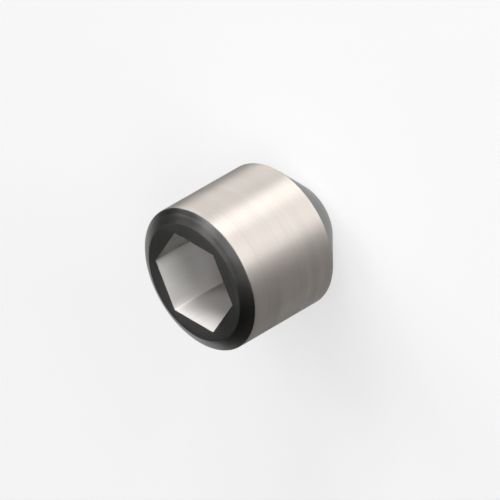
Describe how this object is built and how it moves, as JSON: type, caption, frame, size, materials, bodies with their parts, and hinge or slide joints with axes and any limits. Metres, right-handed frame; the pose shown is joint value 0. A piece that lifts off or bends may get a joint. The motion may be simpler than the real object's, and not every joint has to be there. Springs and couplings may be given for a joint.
{
  "type": "cup point set screw",
  "caption": "Short headless screw with a hexagon socket in its chamfered end face, a plain round body for its thread, and a conical cup point.",
  "frame": {"origin": "centre of the ring of the cup point, on the surface that the screw stands on", "axes": "+Z along the screw's axis from the cup point to the socket face; two corners of the hexagon lie on the X axis"},
  "size_m": [0.01, 0.01, 0.01],
  "materials": {
    "steel": "plain turned steel, bright and slightly satin, with a faint warm tint"
  },
  "bodies": {
    "root": {"set_screw": "steel"}
  },
  "joints": []
}
